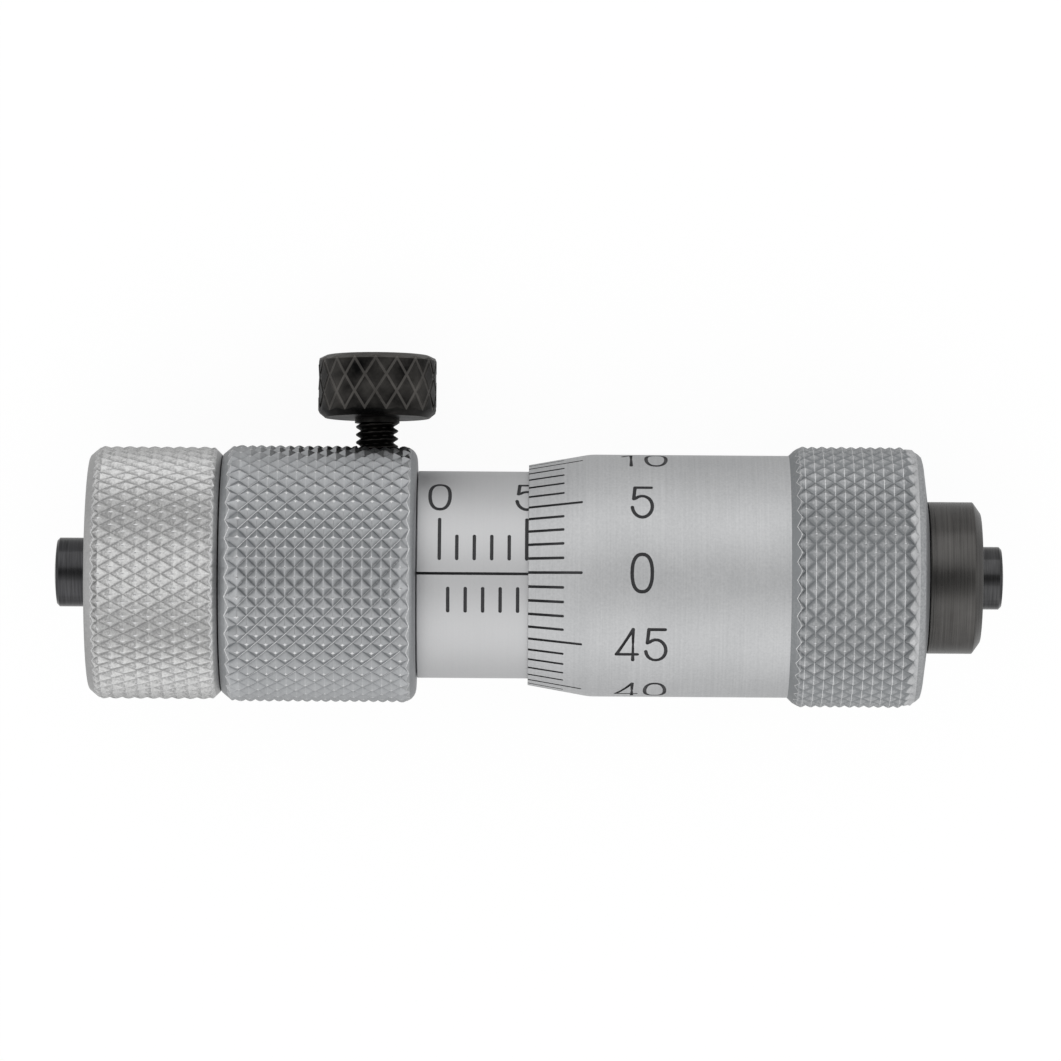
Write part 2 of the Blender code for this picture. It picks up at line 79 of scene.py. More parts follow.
GAUGE = frame_of(OUT, UP, ALONG, Vector((SEAT, LINE.y, LINE.z)))
CLAMP = frame_of(-ALONG, UP, OUT, CLAMP_POINT)

# The camera: the photograph is taken with the clamp screw leaning a little away
CAMERA_LEAN = math.radians(3.0)
CAMERA_ROLL = math.radians(0.39)
CAMERA_LENS = 233.8
CAMERA_DISTANCE = 0.4
AIM_ALONG = 17.83
AIM_OUT = 2.59
VIEW = UP * math.cos(CAMERA_LEAN) - OUT * math.sin(CAMERA_LEAN)
VIEW_TOP = VIEW.cross(ALONG)

# The studio: the room's light, what the camera's side takes from it, and the floor
ROOM_LIGHT = 0.9
CAMERA_SHADE = 0.73
CAMERA_NARROWNESS = 11.0
SOFTBOX_DISTANCE = 0.6
FLOOR_SIZE = 4.0
FLOOR_WHITE = 0.88
FLOOR_WHITE_IN_METAL = 0.28
FLOOR_GLOW = 1.07

# Limits within which two places count as one
TOUCH = 1e-4
LOOSE_TOUCH = TOUCH * 10
ORIGIN = (0.0, 0.0, 0.0)

# Fits and edges that the eye reads
SMOOTH_BELOW = math.radians(24)
ROUND_SEGMENTS = 3
SEAM_CHAMFER = 0.06
EDGE_ROUND = 0.05
SLEEVE_SEAM = 0.05
PRESS_FIT = 0.04
SOCKET_FIT = 0.07
CUTTER_PAST = 1.0

# Steps round the turned pieces that have no knurl
PIN_STEPS = 64
CAP_STEPS = 96
SLEEVE_STEPS = 120
HOLE_STEPS = 32

# Radii of the turned pieces
ROD_PIN_RADIUS = 2.0
SHANK_RADIUS = 2.48
ROD_COLLAR_RADIUS = 7.3
HEAD_RADIUS = 7.4
CLAMP_HOLE_RADIUS = 1.3
BARREL_RADIUS = 5.15
BARREL_ROOM_RADIUS = 3.6
NUT_END_TOP_RADIUS = 4.7
NUT_END_TIP_RADIUS = 4.5
NUT_THREAD_RADIUS = 3.27
SLEEVE_RADIUS = 6.0
SLEEVE_BORE = 5.19
THIMBLE_BORE = 6.1
THIMBLE_EDGE_RADIUS = 6.38
THIMBLE_RADIUS = 7.02
THIMBLE_KNURL_RADIUS = 7.55
TAPER_BORE = 3.45
CAP_RADIUS = 4.4
CAP_BORE = 2.54
SPINDLE_PIN_RADIUS = 1.82

# The measuring faces
DOME_RADIUS = 12.0
DOME_RINGS = 6
DOME_CHAMFER = 0.15

# Knurls: the teeth that go round, the first ring of tips, the rings' pitch and count, and the grooves' depth.
# A ring has its place, the radii of its tips and roots, and the way that its roots are shifted along.
# The last value of both is the share of a tip that is cut flat.
Knurl = namedtuple("Knurl", "teeth first pitch count depth flat")
Ring = namedtuple("Ring", "z tip root shift flat")
ROD_KNURL = Knurl(56, -6.88, 0.724, 9, 0.18, 0.22)
HEAD_KNURL = Knurl(40, 1.1, 0.548, 18, 0.23, 0.26)
THIMBLE_KNURL = Knurl(44, 33.58, 0.564, 11, 0.22, 0.14)
END_FLAT = 0.12
BROAD_FLAT = 0.42
ZIGZAG_FLAT = 0.035
LINE_FLAT = 0.018
LINE_REACH = LINE_FLAT * 1.4
RIDGE_SHARE = 0.8
ROOT_MARGIN = 0.05

# The clamp screw: flat diamonds between crossing grooves on its head, and a thread on its stem
HATCH_TURN = math.radians(4.6)
HATCH_TEETH = 17
HATCH_ROWS = 3
HATCH_DEPTH = 0.11
HATCH_HALF_WIDTH = 0.14
HATCH_FLOOR = 0.09
THREAD_PITCH = 0.45
THREAD_CREST = 1.23
THREAD_ROOT = 0.96
THREAD_SLOPE = 1.35
THREAD_FLOOR = 0.12
RINGS_TO_A_TURN = 10

# The scales
SCALE_ZERO = 12.62
SCALE_LENGTH = 13
FIRST_MARK_RISE = 0.76
LONG_MARK = 2.43
SHORT_MARK = 1.47
MARK_WIDTH = 0.2
MARK_STEPS = 6
INDEX_WIDTH = 0.16
ENGRAVED = 0.06
CUTTER_HEIGHT = ENGRAVED * 3
END_ROUNDING = 0.45
DIVISIONS = 50
LONG_DIVISION = 3.1
SHORT_DIVISION = 2.05
DIVISION_WIDTH = 0.16
THIMBLE_NUMBERS_AT = 24.22
SLEEVE_NUMBERS_RISE = math.radians(48.3)
DIGIT_HALF_WIDTH = 0.575
DIGIT_HALF_HEIGHT = 1.075
DIGIT_PITCH = 1.657
OVAL_POWER = 0.84
STROKE_RADIUS = 0.105
STROKE_CAPS = [(0.55, 0.84), (0.85, 0.53), (0.98, 0.2)]
THIMBLE_TURN = math.radians(-1.3)
SLEEVE_TURN = math.radians(-2.0)

# Finishes: the scales of noises are cells to the millimetre, and to the radian round a piece
CHROME_GRAIN = 7.0
STREAKS_ROUND = 0.6
SATIN_GREY = (0.65, 0.65, 0.65)
SATIN_ROUGHNESS = 0.55
KNURL_ROUGHNESS = 0.42
CREST_ROUGHNESS = 0.28
OXIDE_ROUGHNESS = 0.4
FILL_ROUGHNESS = 0.55
RUBBED_LENGTH = 0.33


def select_only(piece):
    bpy.ops.object.select_all(action="DESELECT")
    piece.select_set(True)
    bpy.context.view_layer.objects.active = piece


def edit(piece):
    """Opens one piece in edit mode, with nothing selected in it."""
    select_only(piece)
    bpy.ops.object.mode_set(mode="EDIT")
    bpy.ops.mesh.select_mode(type="VERT")
    bpy.ops.mesh.select_all(action="DESELECT")


def close_edit():
    bpy.ops.object.mode_set(mode="OBJECT")


def pick(piece, wanted):
    """Selects the points that are wanted, and the edges and faces between them."""
    mesh = bmesh.from_edit_mesh(piece.data)
    for point in mesh.verts:
        point.select_set(False)
    mesh.select_flush(False)
    for point in mesh.verts:
        if wanted(point.co):
            point.select_set(True)
    mesh.select_flush(True)
    bmesh.update_edit_mesh(piece.data)


def pick_edges(piece, wanted):
    """Selects the edges that are wanted, by their two ends."""
    bpy.ops.mesh.select_all(action="DESELECT")
    bpy.ops.mesh.select_mode(type="EDGE")
    mesh = bmesh.from_edit_mesh(piece.data)
    for edge in mesh.edges:
        if wanted(edge.verts[0].co, edge.verts[1].co):
            edge.select_set(True)
    bmesh.update_edit_mesh(piece.data)


def radius_of(point):
    return math.hypot(point.x, point.y)


def angle_of(point):
    return math.atan2(point.y, point.x)


def near(point, corner):
    return abs(point.x - corner[0]) < TOUCH and abs(point.z - corner[1]) < TOUCH


def is_at(point, radius, z):
    return abs(radius_of(point) - radius) < LOOSE_TOUCH and abs(point.z - z) < LOOSE_TOUCH


def merge_doubles():
    """Merges the points that meet on the piece in edit mode, and leaves all of it selected."""
    bpy.ops.mesh.select_all(action="SELECT")
    bpy.ops.mesh.remove_doubles(threshold=TOUCH)


def stretch(x, y, z):
    """Scales what is selected from the origin."""
    bpy.ops.transform.resize(value=(x, y, z), center_override=ORIGIN)


def spin(steps, angle):
    bpy.ops.mesh.spin(steps=steps, angle=angle, center=ORIGIN, axis=(0.0, 0.0, 1.0))


def open_second_slot(piece):
    """Gives the piece in edit mode two material slots and makes the second the one to assign."""
    bpy.ops.object.material_slot_add()
    bpy.ops.object.material_slot_add()
    piece.active_material_index = 1


def turned(name, outline, steps, rounds=()):
    """Turns an outline of (radius, z) points about Z. The corners in rounds are rounded first.

    An outline that starts off the axis is closed, and one that starts on it has to end on it.
    """
    bpy.ops.object.select_all(action="DESELECT")
    bpy.ops.mesh.primitive_plane_add(size=1.0)
    piece = bpy.context.object
    piece.name = piece.data.name = name
    edit(piece)
    bpy.ops.mesh.select_all(action="SELECT")
    bpy.ops.mesh.merge(type="CENTER")
    bpy.ops.transform.translate(value=(outline[0][0], 0.0, outline[0][1]))
    for start, end in zip(outline, outline[1:]):
        step = (end[0] - start[0], 0.0, end[1] - start[1])
        bpy.ops.mesh.extrude_vertices_move(TRANSFORM_OT_translate={"value": step})
    first, last = outline[0], outline[-1]
    if first[0] > TOUCH:
        pick(piece, lambda point: near(point, first) or near(point, last))
        bpy.ops.mesh.edge_face_add()
    for width, corners in rounds:
        pick(piece, lambda point: any(near(point, corner) for corner in corners))
        bpy.ops.mesh.bevel(offset=width, segments=ROUND_SEGMENTS, affect="VERTICES")
    bpy.ops.mesh.select_all(action="SELECT")
    spin(steps, math.tau)
    merge_doubles()
    bpy.ops.mesh.normals_make_consistent(inside=False)
    close_edit()
    return piece


def knurl_rings(knurl, radius, low_end, high_end):
    """A knurl's rings from low to high, with the ones in which it runs out at its ends."""
    full = [
        Ring(knurl.first + knurl.pitch * number, radius, radius - knurl.depth, 0.0, knurl.flat)
        for number in range(knurl.count)
    ]
    return [*low_end, *full, *high_end]


def band(radius, rings):
    """The outline's points for a knurl's rings, from high to low."""
    return [(radius, ring.z) for ring in reversed(rings)]


def peak_of(ring):
    """How far out the tips of a ring stand before they are cut."""
    return ring.root + (ring.tip - ring.root) / (1.0 - ring.flat)


def press_knurl(piece, radius, rings, teeth, ridges=False, grooves=False, bright_ridges=False):
    """Cuts a diamond knurl in a turned band that has two steps to a tooth.

    Every other point is pressed to the root and the squares are creased from root to root. Then the tips
    are rounded, and narrow flats are cut along the zigzag at each end and, where wanted, along the ridges
    that go round and along the bottoms of the grooves that climb one way.
    """

    def in_rings(point, parity, wanted):
        if abs(radius_of(point) - radius) > TOUCH:
            return False
        number = min(range(len(rings)), key=lambda each: abs(rings[each].z - point.z))
        if abs(rings[number].z - point.z) > TOUCH or rings[number] not in wanted:
            return False
        step = round(angle_of(point) / math.tau * 2 * teeth)
        return (number + step) % 2 == parity

    edit(piece)
    pick(piece, lambda point: in_rings(point, 1, rings))
    bpy.ops.mesh.vert_connect()
    for root, shift in sorted({(ring.root, ring.shift) for ring in rings}):
        alike = [ring for ring in rings if (ring.root, ring.shift) == (root, shift)]
        pick(piece, lambda point: in_rings(point, 1, alike))
        stretch(root / radius, root / radius, 1.0)
        bpy.ops.transform.translate(value=(0.0, 0.0, shift))
    for peak in sorted({peak_of(ring) for ring in rings}):
        alike = [ring for ring in rings if peak_of(ring) == peak]
        pick(piece, lambda point: in_rings(point, 0, alike))
        stretch(peak / radius, peak / radius, 1.0)
    # The second slot takes the crest finish, whose lighter colour is a painted highlight
    open_second_slot(piece)
    for flat in sorted({ring.flat for ring in rings if ring.flat > 0.0}):
        tips = [(peak_of(ring), ring.z) for ring in rings if ring.flat == flat]
        pick(piece, lambda point: any(is_at(point, *tip) for tip in tips))
        steps = 1 if flat == BROAD_FLAT else 2
        bpy.ops.mesh.bevel(offset_type="PERCENT", offset_pct=flat * 100.0, segments=steps, affect="VERTICES")
        if flat != BROAD_FLAT:
            bpy.ops.object.material_slot_assign()

    low, high = rings[0].z, rings[-1].z
    least = min(ring.root for ring in rings) - ROOT_MARGIN
    most = max(ring.tip for ring in rings) + LOOSE_TOUCH
    highest_root = max(ring.root for ring in rings)
    half_pitch = (rings[2].z - rings[1].z) / 2
    ridged = [ring for ring in rings[1:-1] if ring.flat != BROAD_FLAT]

    def goes_round(a, b):
        inner, outer = sorted((radius_of(a), radius_of(b)))
        return abs(a.z - b.z) < TOUCH and any(
            abs(ring.z - a.z) < TOUCH
            and abs(ring.root - inner) < TOUCH
            and outer - inner > (ring.tip - ring.root) * RIDGE_SHARE
            for ring in ridged
        )

    def is_zigzag(a, b):
        for ring in (rings[0], rings[-1]):
            corner = ring.z + ring.shift * ring.flat
            for root, tip in ((a, b), (b, a)):
                if is_at(root, ring.root, ring.z + ring.shift) and abs(tip.z - corner) < LOOSE_TOUCH:
                    return radius_of(tip) > ring.root + LOOSE_TOUCH
        return False

    def climbs(a, b):
        turn = math.remainder(angle_of(b) - angle_of(a), math.tau)
        deep = max(radius_of(a), radius_of(b)) < highest_root + TOUCH
        return deep and abs(b.z - a.z) > half_pitch and (b.z - a.z) * turn < 0.0

    def on_ridge(point):
        return any(abs(ring.z - point.z) < LINE_REACH for ring in ridged) and radius_of(point) > least

    def is_crease(a, b):
        inner, outer = sorted((radius_of(a), radius_of(b)))
        return low < (a.z + b.z) / 2 < high and inner > least and outer < most

    pick_edges(piece, is_zigzag)
    bpy.ops.mesh.bevel(offset=ZIGZAG_FLAT, segments=2, affect="EDGES")
    bpy.ops.object.material_slot_assign()
    pick_edges(piece, lambda a, b: ridges and goes_round(a, b) or grooves and climbs(a, b))
    bpy.ops.mesh.bevel(offset=LINE_FLAT, segments=1, affect="EDGES")
    bpy.ops.mesh.select_mode(type="VERT")
    # The floors of the climbing grooves also take the crest finish's painted highlight
    if grooves:
        deepest = least + ROOT_MARGIN + LINE_FLAT
        pick(piece, lambda point: low < point.z < high and least < radius_of(point) < deepest)
        bpy.ops.object.material_slot_assign()
    # The ridges that go round take the crest finish's painted highlight
    if bright_ridges:
        pick(piece, on_ridge)
        bpy.ops.object.material_slot_assign()
    merge_doubles()
    pick_edges(piece, is_crease)
    bpy.ops.mesh.mark_sharp()
    close_edit()


def modify(piece, kind, **settings):
    """Adds one modifier and applies it."""
    select_only(piece)
    change = piece.modifiers.new(kind.title(), kind)
    for name, value in settings.items():
        setattr(change, name, value)
    bpy.ops.object.modifier_apply(modifier=change.name)


def cut(piece, cutter):
    modify(piece, "BOOLEAN", operation="DIFFERENCE", solver="EXACT", object=cutter, material_mode="TRANSFER")
    bpy.data.objects.remove(cutter, do_unlink=True)


def joined(name, pieces):
    select_only(pieces[0])
    for piece in pieces[1:]:
        piece.select_set(True)
    bpy.ops.object.join()
    pieces[0].name = name
    return pieces[0]


def place(piece, where, body, slot, *nodes):
    """Brings a finished piece down to its real size and into its place, and hands it to its body."""
    select_only(piece)
    piece.matrix_world = where @ Matrix.Scale(MM, 4) @ piece.matrix_world
    bpy.ops.object.transform_apply(location=True, rotation=True, scale=True)
    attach(piece, body)
    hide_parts(*nodes)


def smooth(piece):
    select_only(piece)
    bpy.ops.object.shade_smooth_by_angle(angle=SMOOTH_BELOW)


def keep_normals(piece, plain, low, high):
    """Gives the engraved part of a piece, between two heights, the shading that it had before it was cut."""
    edit(piece)
    pick(piece, lambda point: low < point.z < high)
    bpy.ops.object.vertex_group_assign_new()
    close_edit()
    modify(
        piece,
        "DATA_TRANSFER",
        object=plain,
        use_loop_data=True,
        data_types_loops={"CUSTOM_NORMAL"},
        loop_mapping="POLYINTERP_NEAREST",
        vertex_group=piece.vertex_groups[-1].name,
    )
    bpy.ops.object.vertex_group_remove(all=True)
    bpy.data.objects.remove(plain, do_unlink=True)


def added(name, data):
    thing = bpy.data.objects.new(name, data)
    bpy.context.collection.objects.link(thing)
    return thing


def copy_of(piece):
    twin = piece.copy()
    twin.data = piece.data.copy()
    bpy.context.collection.objects.link(twin)
    return twin


class Wire:
    """A socket of a node tree. Arithmetic on it adds the Math nodes."""

    def __init__(self, tree, socket):
        self.tree = tree
        self.socket = socket

    def add(self, kind, settings=None, inputs=None, output=0):
        """Adds a node: its settings first, then the values or links of its sockets."""
        node = self.tree.nodes.new(kind)
        for name, value in (settings or {}).items():
            setattr(node, name, value)
        for name, value in (inputs or {}).items():
            if isinstance(value, Wire):
                self.tree.links.new(value.socket, node.inputs[name])
            else:
                node.inputs[name].default_value = value
        return Wire(self.tree, node.outputs[output])

    def math(self, operation, *values):
        return self.add("ShaderNodeMath", {"operation": operation}, dict(enumerate(values)))

    def __add__(self, other):
        return self.math("ADD", self, other)

    __radd__ = __add__

    def __sub__(self, other):
        return self.math("SUBTRACT", self, other)

    def __rsub__(self, other):
        return self.math("SUBTRACT", other, self)

    def __mul__(self, other):
        return self.math("MULTIPLY", self, other)

    __rmul__ = __mul__

    def __truediv__(self, other):
        return self.math("DIVIDE", self, other)

    def __pow__(self, other):
        return self.math("POWER", self, other)

    def clamped(self):
        return self.add("ShaderNodeClamp", inputs={"Value": self})

    def dot(self, direction):
        """The share of a vector that points this way."""
        settings = {"operation": "DOT_PRODUCT"}
        return self.add("ShaderNodeVectorMath", settings, {0: self, 1: direction}, output=1)

    def noise(self, scale, detail, roughness=0.5):
        inputs = {"Vector": self, "Scale": scale, "Detail": detail, "Roughness": roughness}
        return self.add("ShaderNodeTexNoise", {"noise_dimensions": "3D"}, inputs)


class Finish:
    """A material, with the distances on its piece as wires: along its axis, from it and round it."""

    def __init__(self, name, where, colour, roughness, metallic=1.0):
        self.material = bpy.data.materials.new(name)
        self.material.use_nodes = True
        tree = self.material.node_tree
        self.shader = tree.nodes["Principled BSDF"]
        self.shader.inputs["Base Color"].default_value = (*colour, 1.0)
        self.shader.inputs["Roughness"].default_value = roughness
        self.shader.inputs["Metallic"].default_value = metallic
        self.coordinates = tree.nodes.new("ShaderNodeTexCoord")
        raw = Wire(tree, self.coordinates.outputs["Object"])
        centre = {0: raw, 1: where.translation}
        centred = raw.add("ShaderNodeVectorMath", {"operation": "SUBTRACT"}, centre)
        columns = where.to_3x3().transposed()
        self.across, self.up, self.along = (centred.dot(column) * (1.0 / MM) for column in columns)
        self.direction = columns[2]
        self.radius = (self.across**2 + self.up**2) ** 0.5
        self.angle = self.up.math("ARCTAN2", self.up, self.across)
        scaled = {0: centred, "Scale": 1.0 / MM}
        self.spot = raw.add("ShaderNodeVectorMath", {"operation": "SCALE"}, scaled)

    def facing(self):
        """How far a face looks along the piece's axis: 1 straight up it, and -1 straight down."""
        return Wire(self.material.node_tree, self.coordinates.outputs["Normal"]).dot(self.direction)

    def grain(self, scale=CHROME_GRAIN):
        """Fine noise all over."""
        return self.spot.noise(scale, 4.0, 0.65)

    def cloud(self, scale, detail=2.0):
        """Broad, soft noise."""
        return self.spot.noise(scale, detail)

    def streaks(self, fine):
        """Noise drawn out round the piece, as a lathe tool leaves it."""
        inputs = {0: self.along * fine, 1: self.angle * STREAKS_ROUND, 2: self.radius * fine}
        return self.along.add("ShaderNodeCombineXYZ", inputs=inputs).noise(1.0, 4.0, 0.6)

    def within(self, low, high):
        """1 between two places along the axis, and 0 elsewhere."""
        along = self.along
        return along.math("GREATER_THAN", along, low) * along.math("LESS_THAN", along, high)

    def feed(self, socket, wire):
        self.material.node_tree.links.new(wire.socket, self.shader.inputs[socket])

    def colour(self, factor, dark, light):
        inputs = {"Factor": factor, 6: (*dark, 1.0), 7: (*light, 1.0)}
        self.feed("Base Color", factor.add("ShaderNodeMix", {"data_type": "RGBA"}, inputs, output=2))

    def bump(self, height, distance):
        inputs = {"Height": height, "Distance": distance * MM, "Strength": 1.0}
        self.feed("Normal", height.add("ShaderNodeBump", inputs=inputs))


def varied(middle, *noises):
    """A value that each noise moves up and down by its share."""
    for noise, share in noises:
        middle = middle + (noise - 0.5) * share
    return middle


def satin(name, grain_share, line_share, cloud_share):
    """Satin chrome still without its colour: the finish, its grain and its tone."""
    finish = Finish(name, GAUGE, SATIN_GREY, SATIN_ROUGHNESS)
    grain, cloud, lines = finish.grain(), finish.cloud(0.25), finish.streaks(9.0)
    finish.feed("Roughness", varied(SATIN_ROUGHNESS, (grain, 0.12), (lines, 0.06)))
    finish.bump(grain * 0.7 + lines * 0.5, 0.006)
    return finish, grain, varied(0.5, (grain, grain_share), (lines, line_share), (cloud, cloud_share))


def sleeve_chrome():
    finish, _, tone = satin("sleeve_chrome", 0.55, 0.35, 0.3)
    finish.colour(tone.clamped(), (0.557, 0.561, 0.57), (0.68, 0.68, 0.684))
    return finish.material


def thimble_chrome(root, rings, high):
    """Satin chrome on the plain part, with painted shade in the knurl's grooves, over the knurled band, on
    the chamfer before it and on the end face.
    """
    finish, grain, tone = satin("thimble_chrome", 0.4, 0.25, 0.2)
    knurl_low = rings[0].z - 0.1
    chamfer = finish.within(rings[0].z - 0.6, knurl_low)
    knurl = finish.within(knurl_low, rings[-2].z - 0.25) + finish.within(rings[-1].z + 0.03, high + 0.1)
    end = finish.within(high - 0.3, high + 0.1)
    tone = varied(tone, (grain, knurl * 0.5))
    # Painted shade: darker groove bottoms, chamfer before the knurl, knurled band and end face
    shaded_tone = tone - dirt(finish, root, rings, 0.48) - chamfer * 0.5 - knurl * 0.29 - end * 0.21
    finish.colour(shaded_tone.clamped(), (0.3, 0.311, 0.32), (0.86, 0.86, 0.865))
    return finish.material


def dirt(finish, root, rings, fall=0.0):
    """Painted shade in a knurl: 1 along the bottoms of its grooves, where shade falls, and 0 on its faces and
    outside it.

    The last rings of the thimble's knurl lie on its chamfer, which falls this much to the millimetre.
    """
    depth = rings[1].tip - root
    level = finish.radius - root + (finish.along - (rings[-2].z - 0.28)).clamped() * fall
    sunk = (1.0 - level / depth).clamped()
    return sunk**5.0 * finish.within(rings[0].z, rings[-1].z)


def knurled_chrome(name, root, rings, dark, light, groove_shade_share=0.8, speckle=0.0, down_axis_shade=0.0):
    """Chrome over a knurl: lighter over the knurled band, with painted shade on the chamfers and faces beside
    it and in the bottoms of its grooves.

    The faces of a knurl that look down the axis get painted shade and a stronger speckle of grain.
    """
    finish = Finish(name, GAUGE, light, 0.36)
    grain, cloud = finish.grain(), finish.cloud(0.35)
    knurled = finish.within(rings[0].z - 0.2, rings[-1].z + 0.2)
    # The faces that look down the axis: the mask for their painted shade and stronger speckle
    rough = (finish.facing() * -6.0).clamped() * knurled
    # Painted shade: darker off the knurled band and in the bottoms of its grooves
    shaded_tone = varied(0.3 + knurled * 0.5 - dirt(finish, root, rings) * groove_shade_share, (cloud, 0.3))
    # Painted shade on the faces that look down the axis
    shaded_tone = varied(shaded_tone, (grain, 0.8 + (knurled + rough) * speckle)) - rough * down_axis_shade
    shaded_tone = shaded_tone.clamped()
    finish.colour(shaded_tone, dark, light)
    finish.feed("Roughness", varied(KNURL_ROUGHNESS - shaded_tone * 0.1, (grain, 0.1)))
    finish.bump(grain, 0.008)
    return finish.material


def bright_crest():
    """The ridges, tips, flats and groove floors of the knurls: lighter than the chrome beside them, a painted
    highlight, and less rough.
    """
    finish = Finish("bright_crest", GAUGE, (0.75, 0.755, 0.76), CREST_ROUGHNESS)
    grain = finish.grain()
    finish.colour(grain, (0.5, 0.505, 0.51), (0.83, 0.835, 0.84))
    finish.feed("Roughness", varied(CREST_ROUGHNESS, (grain, 0.12)))
    finish.bump(grain, 0.004)
    return finish.material


def black_oxide(name, tone, rubbed):
    """Blackened steel of this tone, rubbed lighter above a place on the screw's axis."""
    finish = Finish(name, CLAMP, (0.035, 0.034, 0.035), OXIDE_ROUGHNESS)
    grain, worn = finish.grain(6.0), finish.cloud(0.6)
    edge = finish.within(rubbed, rubbed + RUBBED_LENGTH)
    mixed = varied(tone, (grain, 0.25), (worn, 1.2)) + edge * 0.5
    finish.colour(mixed.clamped(), (0.005, 0.005, 0.005), (0.13, 0.123, 0.115))
    finish.feed("Roughness", varied(OXIDE_ROUGHNESS, (grain, 0.2), (worn, -0.1)))
    finish.bump(grain, 0.008)
    return finish.material


def turned_steel(name, dark, light, roughness, fine, where=GAUGE):
    """Bare or darkened steel with the marks of the lathe or the grinding wheel round it."""
    finish = Finish(name, where, light, roughness)
    lines, stains = finish.streaks(fine), finish.cloud(0.6, 3.0)
    finish.colour(varied(0.5, (lines, 1.3), (stains, 0.5)).clamped(), dark, light)
    finish.feed("Roughness", varied(roughness, (lines, 0.16), (stains, 0.06)))
    finish.bump(lines, 0.012)
    return finish.material


def black_fill():
    """The paint in the engraved lines and figures."""
    finish = Finish("black_fill", GAUGE, (0.02, 0.02, 0.022), 0.6, metallic=0.0)
    grain = finish.grain(12.0)
    finish.colour(grain, (0.006, 0.006, 0.007), (0.05, 0.05, 0.055))
    finish.feed("Roughness", varied(FILL_ROUGHNESS, (grain, 0.3)))
    finish.bump(grain, 0.01)
    return finish.material


def dress(piece, *materials):
    """Fills a piece's material slots in their order and leaves its faces in the slots that they have."""
    while len(piece.data.materials) < len(materials):
        piece.data.materials.append(None)
    for slot, material in enumerate(materials):
        piece.data.materials[slot] = material


def dome(radius, tip, outward):
    """A measuring face from its pole to its chamfered edge; outward is 1 up Z and -1 down."""
    rim = radius - DOME_CHAMFER
    rings = [rim * step / DOME_RINGS for step in range(DOME_RINGS + 1)]
    points = [(ring, tip - outward * (DOME_RADIUS - math.sqrt(DOME_RADIUS**2 - ring**2))) for ring in rings]
    points.append((radius, points[-1][1] - outward * DOME_CHAMFER))
    return points


def make_rod_pin():
    low, high = ends("rod_contact")
    tail_radius, tail_start = 1.4, -6.35
    outline = [(0.0, high), (tail_radius, high), (tail_radius, tail_start), (ROD_PIN_RADIUS, tail_start)]
    outline += reversed(dome(ROD_PIN_RADIUS, low, -1))
    piece = turned("left_measuring_pin", outline, PIN_STEPS)
    smooth(piece)
    dress(piece, turned_steel("left_pin_steel", (0.012, 0.012, 0.013), (0.108, 0.108, 0.112), 0.18, 11.0))
    place(piece, GAUGE, "rod", "ground_steel", "rod_contact")


def make_rod_shank():
    low, high = ends("rod_shank")
    chamfer, bore_radius, bore_end = 0.4, 1.44, -2.2
    outline = [
        (0.0, high),
        (SHANK_RADIUS - chamfer, high),
        (SHANK_RADIUS, high - chamfer),
        (SHANK_RADIUS, low),
        (bore_radius, low),
        (bore_radius, bore_end),
        (0.0, bore_end),
    ]
    piece = turned("rod_shank_bar", outline, PIN_STEPS)
    smooth(piece)
    dress(piece, turned_steel("shank_steel", (0.3, 0.3, 0.31), (0.5, 0.5, 0.51), 0.26, 9.0))
    place(piece, GAUGE, "rod", "ground_steel", "rod_shank")


def make_rod_collar(crest):
    low, high = ends("rod_collar")
    edge, far_round = 0.46, 0.12
    far_corner = (ROD_COLLAR_RADIUS - 0.55, low)
    near_corner = (ROD_COLLAR_RADIUS - edge, high)
    pin_hole, shank_hole, pin_hole_depth = ROD_PIN_RADIUS + PRESS_FIT, SHANK_RADIUS + PRESS_FIT, 1.35
    root = ROD_COLLAR_RADIUS - ROD_KNURL.depth
    rings = knurl_rings(
        ROD_KNURL,
        ROD_COLLAR_RADIUS,
        [Ring(low + 0.6, ROD_COLLAR_RADIUS - 0.06, root, -0.18, END_FLAT)],
        [Ring(high - edge, ROD_COLLAR_RADIUS - 0.02, root, 0.18, END_FLAT)],
    )
    outline = [
        (shank_hole, high),
        near_corner,
        *band(ROD_COLLAR_RADIUS, rings),
        far_corner,
        (pin_hole, low),
        (pin_hole, low + pin_hole_depth),
        (shank_hole, low + pin_hole_depth),
    ]
    rounds = [(far_round, [far_corner]), (EDGE_ROUND, [near_corner, (pin_hole, low)])]
    piece = turned("rod_knurled_collar", outline, ROD_KNURL.teeth * 2, rounds)
    press_knurl(piece, ROD_COLLAR_RADIUS, rings, ROD_KNURL.teeth)
    smooth(piece)
    tones = (0.38, 0.38, 0.38), (0.67, 0.67, 0.665)
    # Painted shade in the grooves and on the faces that look down the axis, and the grain's speckle
    shade_and_speckle = {"groove_shade_share": 0.5, "speckle": 1.3, "down_axis_shade": 0.42}
    dress(piece, knurled_chrome("rod_collar_chrome", root, rings, *tones, **shade_and_speckle), crest)
    place(piece, GAUGE, "rod", "knurled_chrome", "rod_collar")


def end_rounding(collar_end):
    """The rounded edge of the clamp collar beside the sleeve, from its face down to the knurl."""
    radius, steps, knurl_steps, quarter = 0.77, 6, 2, math.radians(84)
    turns = [quarter * step / steps for step in range(steps, knurl_steps, -1)]
    start = collar_end - radius
    return [(HEAD_RADIUS - radius * (1 - math.cos(turn)), start + radius * math.sin(turn)) for turn in turns]


